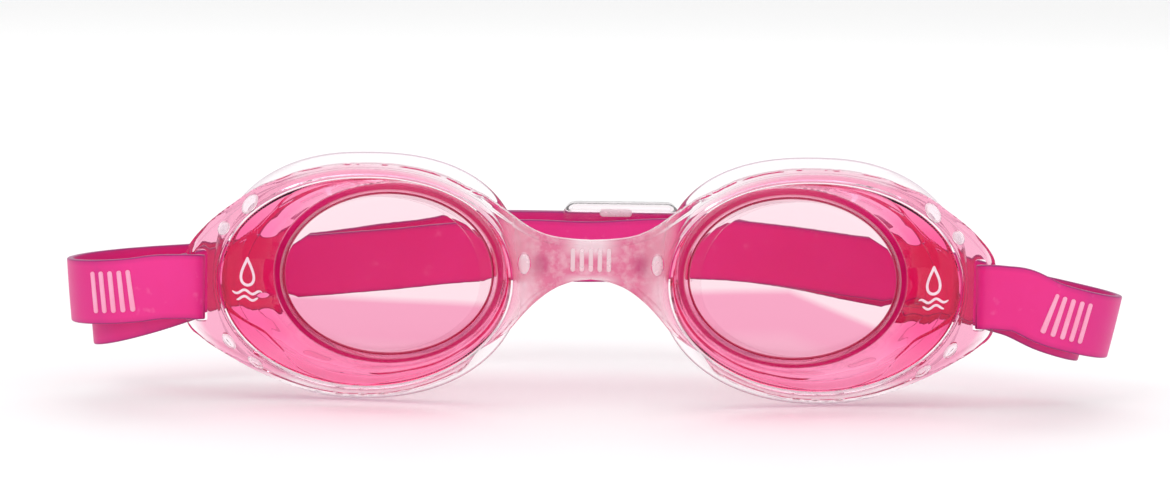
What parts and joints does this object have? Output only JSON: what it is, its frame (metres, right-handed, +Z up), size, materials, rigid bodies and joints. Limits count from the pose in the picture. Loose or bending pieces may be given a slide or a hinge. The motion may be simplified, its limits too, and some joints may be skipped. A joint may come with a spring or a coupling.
{
  "type": "swim goggles",
  "caption": "Small swim goggles with tinted lens cups, a clear soft frame with nose bridge, face gaskets and a double silicone strap with a sliding back clip.",
  "frame": {"origin": "on the nose bridge's flat front face, midway between the eyes", "axes": "+X to the right of somebody facing the lenses, -Y out of the lenses and +Y towards the wearer's head, +Z up"},
  "size_m": [0.1987, 0.0686, 0.0457],
  "materials": {
    "clear_frame": "glossy clear soft plastic",
    "clear_gasket": "satin clear soft plastic",
    "pink_lens": "polished pink tinted polycarbonate",
    "strap": "satin pink silicone",
    "clip": "glossy clear plastic"
  },
  "bodies": {
    "frame": {"front_frame": "clear_frame", "lens_left": "pink_lens", "lens_right": "pink_lens", "gasket_left": "clear_gasket", "gasket_right": "clear_gasket", "peg_upper_big_left": "clear_gasket", "peg_upper_small_left": "clear_gasket", "peg_lower_small_left": "clear_gasket", "peg_lower_big_left": "clear_gasket", "peg_nose_left": "clear_gasket", "peg_upper_big_right": "clear_gasket", "peg_upper_small_right": "clear_gasket", "peg_lower_small_right": "clear_gasket", "peg_lower_big_right": "clear_gasket", "peg_nose_right": "clear_gasket", "strap_loop_left": "strap", "strap_loop_right": "strap"},
    "outer_band": {"strap_outer_left": "strap", "strap_outer_right": "strap"},
    "inner_band": {"strap_inner_band": "strap"},
    "clip": {"clip_body": "clip"}
  },
  "joints": [
    {"name": "strap_swing", "type": "hinge", "parent": "frame", "child": "outer_band", "pos_m": [0, 0.008, -0.0056], "axis": [1, 0, 0], "range_deg": [-30, 50], "stiffness_Nm_per_rad": 0.02},
    {"name": "band_spread", "type": "hinge", "parent": "outer_band", "child": "inner_band", "pos_m": [0, 0.008, -0.0056], "axis": [1, 0, 0], "range_deg": [-15, 15], "stiffness_Nm_per_rad": 0.02},
    {"name": "clip_slide", "type": "slide", "parent": "outer_band", "child": "clip", "axis": [1, 0, 0], "range_m": [-0.007, 0.007]}
  ]
}
